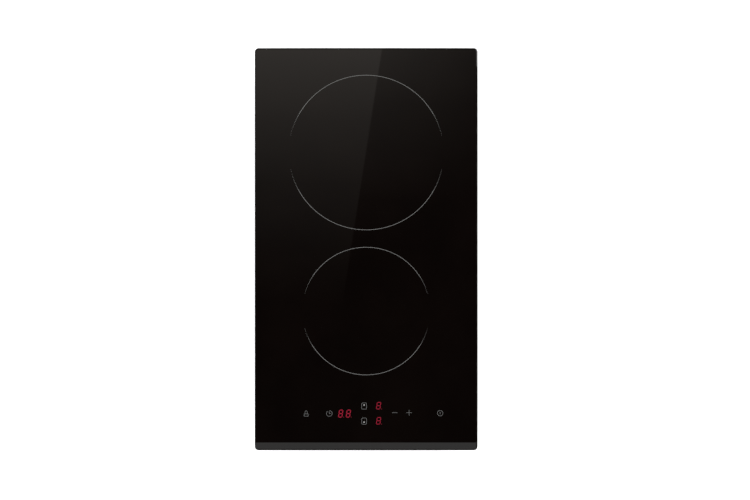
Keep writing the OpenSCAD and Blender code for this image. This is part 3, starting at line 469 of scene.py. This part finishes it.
def solids_of(node):
    """The boxes of a node's separate solids, as (low, high) corners."""
    mesh = bmesh.new()
    mesh.from_mesh(frame["nodes"][node].data)
    weld = 0.000002
    bmesh.ops.remove_doubles(mesh, verts=mesh.verts, dist=weld)
    seen, boxes = set(), []
    for start in mesh.verts:
        if start in seen:
            continue
        stack, island = [start], []
        seen.add(start)
        while stack:
            vertex = stack.pop()
            island.append(vertex.co.copy())
            for edge in vertex.link_edges:
                other = edge.other_vert(vertex)
                if other not in seen:
                    seen.add(other)
                    stack.append(other)
        low = Vector([min(p[i] for p in island) for i in range(3)])
        high = Vector([max(p[i] for p in island) for i in range(3)])
        boxes.append((low, high))
    mesh.free()
    return sorted(boxes, key=lambda b: (round(b[0].x, 5), round(b[0].y, 5)))


# ---------------------------------------------------------------- pieces

def make_springs(made):
    """Wire helices in place of the plain spring sleeves."""
    for zone in ("rear", "front"):
        node = zone + "_coil_springs"
        parts = []
        for low, high in solids_of(node):
            centre = (low + high) / 2
            wire = 0.55 * MM
            radius = (high.x - low.x) / 2 - wire
            parts.append(helix(centre, radius, low.z, high.z, wire, 4))
        name = zone + "_coil_spring_wire"
        piece = piece_from(name, *joined(parts), "hob", "spring_steel", made["spring_steel"])
        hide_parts(node)
        low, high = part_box(node)
        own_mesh(piece)
    parts = []
    for low, high in solids_of("touch_springs"):
        wire = 0.3 * MM
        parts.append(helix((low + high) / 2, (high.x - low.x) / 2 - wire, low.z, high.z, wire, 4, 16))
    piece = piece_from("touch_spring_wire", *joined(parts), "hob", "spring_steel", made["spring_steel"])
    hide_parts("touch_springs")


def make_windings(made):
    """One flat spiral of litz wire per coil."""
    for zone in ("rear", "front"):
        node = zone + "_coil_winding"
        low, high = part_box(node)
        centre = (low + high) / 2
        wire = (high.z - low.z) / 2
        outer = (high.x - low.x) / 2 - wire
        pitch = 3.1 * MM
        inner = 25.8 * MM
        slack = 0.97
        turns = (outer - inner) / pitch
        steps = 72
        path = []
        for i in range(int(turns * steps) + 1):
            radius = inner + pitch * i / steps
            angle = 2 * math.pi * i / steps
            x = centre.x + radius * math.cos(angle)
            y = centre.y + radius * math.sin(angle)
            path.append(Vector((x, y, centre.z)))
        vertices, faces = swept(path, wire * slack, 10)
        name = zone + "_litz_spiral"
        piece = piece_from(name, vertices, faces, zone + "_coil", "litz_copper", made["litz_copper"])
        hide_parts(node)


def smooth_route(points, steps=8):
    """A smooth curve through the points."""
    path = []
    last = len(points) - 1
    for i in range(last):
        a, b, c, d = points[max(i - 1, 0)], points[i], points[i + 1], points[min(i + 2, last)]
        for k in range(steps):
            t = k / steps
            path.append(0.5 * (2 * b + (c - a) * t + (2 * a - 5 * b + 4 * c - d) * t * t
                               + (3 * b - a - 3 * c + d) * t * t * t))
    return path + [points[last]]


def make_coil_leads(made):
    """Sleeved leads from each coil's rim down to its terminals."""
    wire = 1.6 * MM
    past_plate = 2 * MM
    crimp_points = 6
    crimp_share = 0.8
    terminals = [((low + high) / 2, high.z) for low, high in solids_of("coil_terminals")]
    leads = {"rear": ((220, 228), terminals[:2][::-1]), "front": ((14, 2), terminals[2:])}
    for zone, (angles, ends) in leads.items():
        low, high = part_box(zone + "_coil_former")
        centre = (low + high) / 2
        rim = (high.x - low.x) / 2
        node_low, node_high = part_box(zone + "_coil_leads")
        centre.z = node_high.z - wire
        edge = rim + past_plate + wire + 1 * MM
        parts, crimps = [], []
        for angle, (end, top) in zip(angles, ends):
            out = Vector((math.cos(math.radians(angle)), math.sin(math.radians(angle)), 0))
            down = Vector((0, 0, MM))
            foot = Vector((end.x, end.y, top))
            route = [centre + (rim - 7 * MM) * out, centre + (edge - 3 * MM) * out,
                     centre + (edge + 2 * MM) * out - 2 * down, centre + (edge + 5 * MM) * out - 9 * down,
                     foot + 12 * down, foot + 5 * down, foot + 0.1 * down]
            path = smooth_route(route)
            parts.append(swept(path[:1 - crimp_points], wire, 16))
            crimps.append(swept(path[-crimp_points:], wire * crimp_share, 12))
        for name, pieces, slot in (("sleeves", parts, "litz_sleeve"), ("crimps", crimps, "terminal_brass")):
            piece = piece_from(f"{zone}_lead_{name}", *joined(pieces), "hob", slot, made[slot])
            if name == "sleeves":
                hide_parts(zone + "_coil_leads")
            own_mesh(piece)


# Place of each bar in halves of the figure's width and height, and whether it lies level
DIGIT_SEGMENTS = [
    (0, 1, True), (1, 0.5, False), (1, -0.5, False), (0, -1, True),
    (-1, -0.5, False), (-1, 0.5, False), (0, 0, True),
]
# Height, width, bar width and shift from the middle of its place, in millimetres
TIMER_FIGURE = (10.2, 5.6, 1.05, -0.4, -0.5)
LEVEL_FIGURE = (9.4, 5.5, 0.8, -0.75, -0.05)
# How far figures and spots lie over the glass, and how thick they are
FIGURE_RISE = 0.01 * MM
SPOT_RISE = 0.03 * MM
LIT_THICK = 0.03 * MM


def segment(cx, cy, length, width, level, slant, centre):
    """One six-sided bar of a seven-segment digit."""
    half, w = length / 2, width / 2
    outline = [(-half, 0), (-half + w, -w), (half - w, -w), (half, 0), (half - w, w), (-half + w, w)]
    if not level:
        outline = [(-y, x) for x, y in outline]
    low = TOP_Z + FIGURE_RISE
    ring = [(centre[0] + cx + x + (cy + y) * slant, centre[1] + cy + y) for x, y in outline]
    vertices = [Vector((x, y, z)) for z in (low, low + LIT_THICK) for x, y in ring]
    n = len(ring)
    faces = [tuple(reversed(range(n))), tuple(range(n, 2 * n))]
    faces += [(i, (i + 1) % n, n + (i + 1) % n, n + i) for i in range(n)]
    return vertices, faces


def make_zone_dots(lit):
    """Bright dot in each zone symbol, the only prints narrower than widest both ways; the printed dot is
    drawn with a painted glow.
    """
    widest = 1.8 * MM
    radius = 0.85 * MM
    dots = [(low + high) / 2 for low, high in solids_of("control_print")
            if high.x - low.x < widest and high.y - low.y < widest]
    for index, middle in enumerate(dots):
        spot = disc((middle.x, middle.y), radius)
        piece_from(f"painted_glow_dot_{index + 1}", *spot, "hob", "icon_enamel", lit, rounded=False)


def make_digits(lit, dim):
    """Seven-segment figures glowing through the glass; those of the levels are smaller and finer."""
    gap = 0.25 * MM
    slant = math.tan(math.radians(9))
    pitch = 9.9 * MM
    point_gap = 2.1 * MM
    point_radius = 0.65 * MM
    centres = []
    for low, high in solids_of("led_displays"):
        middle = (low + high) / 2
        count = round((high.x - low.x) / pitch)
        for i in range(count):
            centres.append((middle.x + (i - (count - 1) / 2) * pitch, middle.y, count > 1))
    for index, (x, y, timer) in enumerate(centres):
        figure = TIMER_FIGURE if timer else LEVEL_FIGURE
        height, width, bar, shift_x, shift_y = [v * MM for v in figure]
        centre = (x + shift_x, y + shift_y)
        half_w = (width - bar) / 2
        half_h = (height - bar) / 2
        parts = []
        for sx, sy, level in DIGIT_SEGMENTS:
            length = (2 * half_w if level else half_h) - 2 * gap
            parts.append(segment(sx * half_w, sy * half_h, length, bar, level, slant, centre))
        piece_from(f"digit_{index + 1}", *joined(parts), "hob", "display_red", lit, rounded=False)
        place = (centre[0] + half_w + point_gap - half_h * slant, centre[1] - half_h)
        spot = disc(place, point_radius)
        piece_from(f"digit_point_{index + 1}", *spot, "hob", "display_red", dim, rounded=False)


def disc(centre, radius, sides=24):
    """Thin round spot on the glass."""
    low = TOP_Z + SPOT_RISE
    high = low + LIT_THICK
    ring = [(centre[0] + radius * math.cos(2 * math.pi * k / sides),
             centre[1] + radius * math.sin(2 * math.pi * k / sides)) for k in range(sides)]
    vertices = [Vector((x, y, z)) for z in (low, high) for x, y in ring]
    faces = [tuple(reversed(range(sides))), tuple(range(sides, 2 * sides))]
    faces += [(i, (i + 1) % sides, sides + (i + 1) % sides, sides + i) for i in range(sides)]
    return vertices, faces


# ---------------------------------------------------------------- stage

def emission_card(name, corners, nodes_for):
    """Level card above the hob that only reflections see."""
    mesh = bpy.data.meshes.new(name)
    mesh.from_pydata(corners, [], [tuple(range(len(corners)))])
    card = bpy.data.objects.new(name, mesh)
    bpy.context.scene.collection.objects.link(card)
    material = bpy.data.materials.new(name)
    material.use_nodes = True
    tree = material.node_tree
    tree.nodes.clear()
    output = tree.nodes.new("ShaderNodeOutputMaterial")
    emission = tree.nodes.new("ShaderNodeEmission")
    tree.links.new(emission.outputs[0], output.inputs["Surface"])
    nodes_for(tree, emission)
    mesh.materials.append(material)
    card.visible_camera = False
    card.visible_diffuse = False
    card.visible_transmission = False
    card.visible_shadow = False
    card.visible_volume_scatter = False


def make_world():
    """White all round for the eye and for soft light; reflections see a dark ceiling over a pale horizon."""
    world = bpy.data.worlds.new("world")
    bpy.context.scene.world = world
    world.use_nodes = True
    tree = world.node_tree
    tree.nodes.clear()
    output = tree.nodes.new("ShaderNodeOutputWorld")
    white = tree.nodes.new("ShaderNodeBackground")
    white.inputs["Color"].default_value = (1, 1, 1, 1)
    white.inputs["Strength"].default_value = 1.2
    room = tree.nodes.new("ShaderNodeBackground")
    coord = tree.nodes.new("ShaderNodeTexCoord")
    split = tree.nodes.new("ShaderNodeSeparateXYZ")
    tree.links.new(coord.outputs["Generated"], split.inputs[0])
    fade = tree.nodes.new("ShaderNodeValToRGB")
    fade.color_ramp.interpolation = "EASE"
    fade.color_ramp.elements[0].position = 0.1
    fade.color_ramp.elements[0].color = (0.85, 0.86, 0.88, 1)
    fade.color_ramp.elements[1].position = 0.4
    fade.color_ramp.elements[1].color = (0.0, 0.0, 0.0, 1)
    tree.links.new(split.outputs["Z"], fade.inputs["Fac"])
    tree.links.new(fade.outputs["Color"], room.inputs["Color"])
    path = tree.nodes.new("ShaderNodeLightPath")
    mix = tree.nodes.new("ShaderNodeMixShader")
    tree.links.new(path.outputs["Is Glossy Ray"], mix.inputs["Fac"])
    tree.links.new(white.outputs[0], mix.inputs[1])
    tree.links.new(room.outputs[0], mix.inputs[2])
    tree.links.new(mix.outputs[0], output.inputs["Surface"])


def area_light(name, place, size, power):
    """Soft rectangular light aimed at the origin."""
    data = bpy.data.lights.new(name, "AREA")
    data.shape = "RECTANGLE"
    data.size, data.size_y = size
    data.energy = power
    lamp = bpy.data.objects.new(name, data)
    bpy.context.scene.collection.objects.link(lamp)
    lamp.location = place
    lamp.rotation_euler = (-Vector(place)).to_track_quat("-Z", "Y").to_euler()


# Height of the cards that the glass reflects
CARD_Z = 2.0


def card_point(x, y):
    """Where the camera's reflection of the glass at (x, y) meets the card."""
    reach = (CARD_Z - TOP_Z) / CAMERA_RISE
    return x + (x - CAMERA_X) * reach, y + (y - CAMERA_Y) * reach


def make_floor():
    """Pale floor that runs far past the view."""
    half = 60.0
    corners = [(-half, -half, 0), (half, -half, 0), (half, half, 0), (-half, half, 0)]
    mesh = bpy.data.meshes.new("floor")
    mesh.from_pydata(corners, [], [(0, 1, 2, 3)])
    floor = bpy.data.objects.new("floor", mesh)
    bpy.context.scene.collection.objects.link(floor)
    material, _, shader = new_tree("floor")
    shader.inputs["Base Color"].default_value = (0.92, 0.92, 0.92, 1)
    shader.inputs["Roughness"].default_value = 0.9
    shader.inputs["Specular IOR Level"].default_value = 0.1
    shader.inputs["Emission Color"].default_value = (1, 1, 1, 1)
    shader.inputs["Emission Strength"].default_value = 0.3
    mesh.materials.append(material)


def make_lights():
    """Two large soft lights, the stronger one at the front left."""
    area_light("key_light", (-2.4, -1.4, 2.4), (2.4, 2.4), 50)
    area_light("fill_light", (2.6, 1.2, 2.2), (2.2, 2.2), 35)


# How far the ceiling sheen's cards reach past the glass, and where on the glass the sheen ends in front
SHEEN_MARGIN = 0.03
SHEEN_FRONT = -0.12
# Two points on the glass of the sheen's slanting edge
EDGE_REAR = (0.0206, 0.26)
EDGE_FRONT = (-0.0385, SHEEN_FRONT)
# Brightness left and right of that edge: place from front (0) to rear (1), and level there
LEVELS_LEFT = (
    (0.0, 0.0), (0.12, 0.004), (0.3, 0.045), (0.5, 0.13), (0.7, 0.3), (0.85, 0.5), (1.0, 0.72),
)
LEVELS_RIGHT = (
    (0.0, 0.0), (0.3, 0.0), (0.45, 0.02), (0.6, 0.073), (0.75, 0.148), (0.9, 0.28), (1.0, 0.4),
)


def sheen(levels, across, low, high):
    """Node maker of a sheen card from corner low to high: levels along Y, times across along X."""
    def build(tree, emission):
        coord = tree.nodes.new("ShaderNodeTexCoord")
        split = tree.nodes.new("ShaderNodeSeparateXYZ")
        tree.links.new(coord.outputs["Object"], split.inputs[0])
        span = tree.nodes.new("ShaderNodeMapRange")
        span.inputs["From Min"].default_value = low[1]
        span.inputs["From Max"].default_value = high[1]
        tree.links.new(split.outputs["Y"], span.inputs["Value"])
        curve = tree.nodes.new("ShaderNodeValToRGB")
        elements = curve.color_ramp.elements
        while len(elements) < len(levels):
            elements.new(0.5)
        for element, (position, level) in zip(elements, levels):
            element.position = position
            element.color = (level, level * 0.93, level * 0.85, 1)
        tree.links.new(span.outputs["Result"], curve.inputs["Fac"])
        side = tree.nodes.new("ShaderNodeMapRange")
        side.inputs["From Min"].default_value = low[0]
        side.inputs["From Max"].default_value = high[0]
        side.inputs["To Min"].default_value = across[0]
        side.inputs["To Max"].default_value = across[1]
        tree.links.new(split.outputs["X"], side.inputs["Value"])
        tree.links.new(curve.outputs["Color"], emission.inputs["Color"])
        tree.links.new(side.outputs["Result"], emission.inputs["Strength"])
    return build


def plain(level):
    """Node maker of an evenly bright card."""
    def build(tree, emission):
        emission.inputs["Color"].default_value = (level, level * 1.01, level, 1)
        emission.inputs["Strength"].default_value = 1.0
    return build


def make_sheen():
    """Ceiling sheen in two halves that meet at a slanting edge, and the card that the facet reflects."""
    left = GLASS_LOW.x - SHEEN_MARGIN
    right = GLASS_HIGH.x + SHEEN_MARGIN
    rear = GLASS_HIGH.y + SHEEN_MARGIN
    slope = (EDGE_REAR[0] - EDGE_FRONT[0]) / (EDGE_REAR[1] - EDGE_FRONT[1])
    edge_rear = (EDGE_REAR[0] + slope * (rear - EDGE_REAR[1]), rear)
    low = card_point(left, SHEEN_FRONT)
    high = card_point(right, rear)

    def corners(*points):
        return [(*card_point(x, y), CARD_Z) for x, y in points]

    emission_card("sheen_left", corners((left, SHEEN_FRONT), EDGE_FRONT, edge_rear, (left, rear)),
                  sheen(LEVELS_LEFT, (1.13, 1.07), low, high))
    emission_card("sheen_right", corners(EDGE_FRONT, (right, SHEEN_FRONT), (right, rear), edge_rear),
                  sheen(LEVELS_RIGHT, (2.4, 0.36), low, high))

    half, near, far = 0.3, -0.45, -0.8
    facet = [(-half, far, CARD_Z), (half, far, CARD_Z), (half, near, CARD_Z), (-half, near, CARD_Z)]
    emission_card("facet_card", facet, plain(0.75))


# ---------------------------------------------------------------- build

make_camera()
bpy.context.scene.view_settings.view_transform = "Standard"
MATERIALS = make_materials()
SLOT_OF = {s["node"]: s["material_slot"] for s in frame["record"]["subparts"]}
for node_name, node_object in frame["nodes"].items():
    node_object.data.materials.clear()
    node_object.data.materials.append(MATERIALS[SLOT_OF[node_name]])

make_springs(MATERIALS)
make_windings(MATERIALS)
make_coil_leads(MATERIALS)
LIT = light_bar("segment_lit", (0.34, 0.012, 0.035), 1.0)
DIM = light_bar("segment_dim", (0.1, 0.008, 0.014), 1.0)
make_digits(LIT, DIM)
# The zone dots are white print, not lamps: their emission is a painted glow.
make_zone_dots(light_bar("painted_glow_dot", (0.5, 0.49, 0.48), 1.0))
make_world()
make_floor()
make_lights()
make_sheen()
